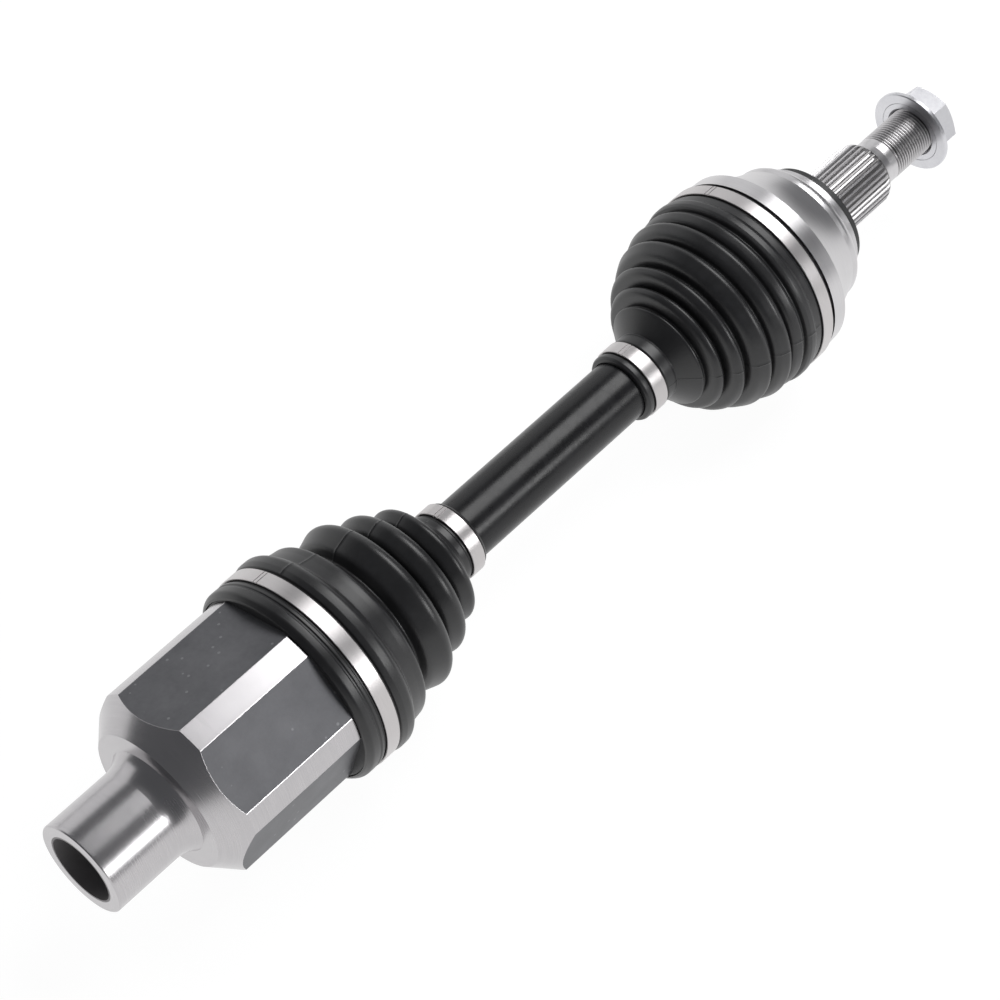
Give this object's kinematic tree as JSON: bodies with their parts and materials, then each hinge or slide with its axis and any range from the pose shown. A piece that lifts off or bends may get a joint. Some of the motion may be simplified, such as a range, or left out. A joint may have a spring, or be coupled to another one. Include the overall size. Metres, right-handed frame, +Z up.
{
  "type": "cv axle",
  "caption": "Front drive axle: a tripod plunging joint with a splined female neck, a bar, and a fixed ball joint with a splined, threaded stub and nut, under rubber boots.",
  "frame": {"origin": "centre of the mouth of the inboard neck's bore", "axes": "+X along the axle from the gearbox end to the wheel end, +Z up as the axle lies in a vehicle"},
  "size_m": [0.5182, 0.0944, 0.0944],
  "materials": {
    "housing_steel": "turned and ground on the lands, cone and neck; dark grey forged skin with a phosphate coat on the flats",
    "bell_steel": "fine turned, satin",
    "shaft_paint": "satin black paint over a forged bar",
    "boot_rubber": "black moulded rubber, semi-gloss",
    "adapter_plastic": "black moulded thermoplastic rubber, matte",
    "clamp_steel": "cold rolled stainless strip, satin",
    "bearing_steel": "ground and polished",
    "ring_steel": "spring steel, oiled",
    "plug_steel": "pressed, zinc plated",
    "dust_ring_black": "black, matte",
    "nut_steel": "bright zinc plated"
  },
  "bodies": {
    "housing": {"inboard_housing": "housing_steel", "grease_plug": "plug_steel", "boot_adapter": "adapter_plastic", "inboard_large_clamp": "clamp_steel"},
    "inboard_bellows": {"inboard_boot": "boot_rubber"},
    "axle_shaft": {"shaft": "shaft_paint", "spider": "bearing_steel", "needles_1": "bearing_steel", "needles_2": "bearing_steel", "needles_3": "bearing_steel", "trunnion_rings": "ring_steel", "spider_rings": "ring_steel", "inner_race": "bearing_steel", "race_rings": "ring_steel", "inboard_small_clamp": "clamp_steel", "outboard_small_clamp": "clamp_steel"},
    "roller_one": {"roller_1": "bearing_steel"},
    "roller_two": {"roller_2": "bearing_steel"},
    "roller_three": {"roller_3": "bearing_steel"},
    "outboard_bellows": {"outboard_boot": "boot_rubber"},
    "ball_cage": {"cage": "bearing_steel", "ball_1": "bearing_steel", "ball_2": "bearing_steel", "ball_3": "bearing_steel", "ball_4": "bearing_steel", "ball_5": "bearing_steel", "ball_6": "bearing_steel"},
    "outer_race": {"bell": "bell_steel", "dust_ring": "dust_ring_black", "outboard_large_clamp": "clamp_steel"},
    "washer": {"nut_washer": "nut_steel"},
    "nut": {"hub_nut": "nut_steel"}
  },
  "joints": [
    {"name": "plunge", "type": "slide", "parent": "housing", "child": "inboard_bellows", "axis": [1, 0, 0], "range_m": [-0.015, 0.015], "deforming": ["inboard_boot"]},
    {"name": "inboard_tilt", "type": "hinge", "parent": "inboard_bellows", "child": "axle_shaft", "pos_m": [0.0935, 0, 0], "axis": [0, 1, 0], "range_deg": [-20, 20], "deforming": ["inboard_boot"]},
    {"name": "outboard_tilt", "type": "hinge", "parent": "axle_shaft", "child": "outboard_bellows", "pos_m": [0.4, 0, 0], "axis": [0, 1, 0], "range_deg": [-12, 12], "deforming": ["outboard_boot"]},
    {"name": "cage_steer", "type": "hinge", "parent": "outboard_bellows", "child": "ball_cage", "pos_m": [0.4, 0, 0], "axis": [0, 0, 1], "range_deg": [-22.5, 22.5], "deforming": ["outboard_boot"]},
    {"name": "hub_steer", "type": "hinge", "parent": "ball_cage", "child": "outer_race", "pos_m": [0.4, 0, 0], "axis": [0, 0, 1], "range_deg": [-22.5, 22.5], "deforming": ["outboard_boot"]},
    {"name": "nut_advance", "type": "slide", "parent": "outer_race", "child": "washer", "axis": [1, 0, 0], "range_m": [-0.0211, 0.0001]},
    {"name": "nut_turn", "type": "hinge", "parent": "washer", "child": "nut", "pos_m": [0.5039, 0, 0], "axis": [1, 0, 0], "range_deg": [-5040, 0]},
    {"name": "roller_one_spin", "type": "hinge", "parent": "axle_shaft", "child": "roller_one", "pos_m": [0.0935, 0, 0], "axis": [0, -0.6756, 0.7373], "continuous": true},
    {"name": "roller_two_spin", "type": "hinge", "parent": "axle_shaft", "child": "roller_two", "pos_m": [0.0935, 0, 0], "axis": [0, -0.3007, -0.9537], "continuous": true},
    {"name": "roller_three_spin", "type": "hinge", "parent": "axle_shaft", "child": "roller_three", "pos_m": [0.0935, 0, 0], "axis": [0, 0.9763, 0.2164], "continuous": true}
  ],
  "couplings": [
    {"joint": "cage_steer", "follows": "hub_steer", "ratio": 1},
    {"joint": "nut_advance", "follows": "nut_turn", "m_per_rad": 0.00023873},
    {"joint": "roller_one_spin", "follows": "plunge", "rad_per_m": 64.516},
    {"joint": "roller_two_spin", "follows": "plunge", "rad_per_m": 64.516},
    {"joint": "roller_three_spin", "follows": "plunge", "rad_per_m": 64.516}
  ]
}
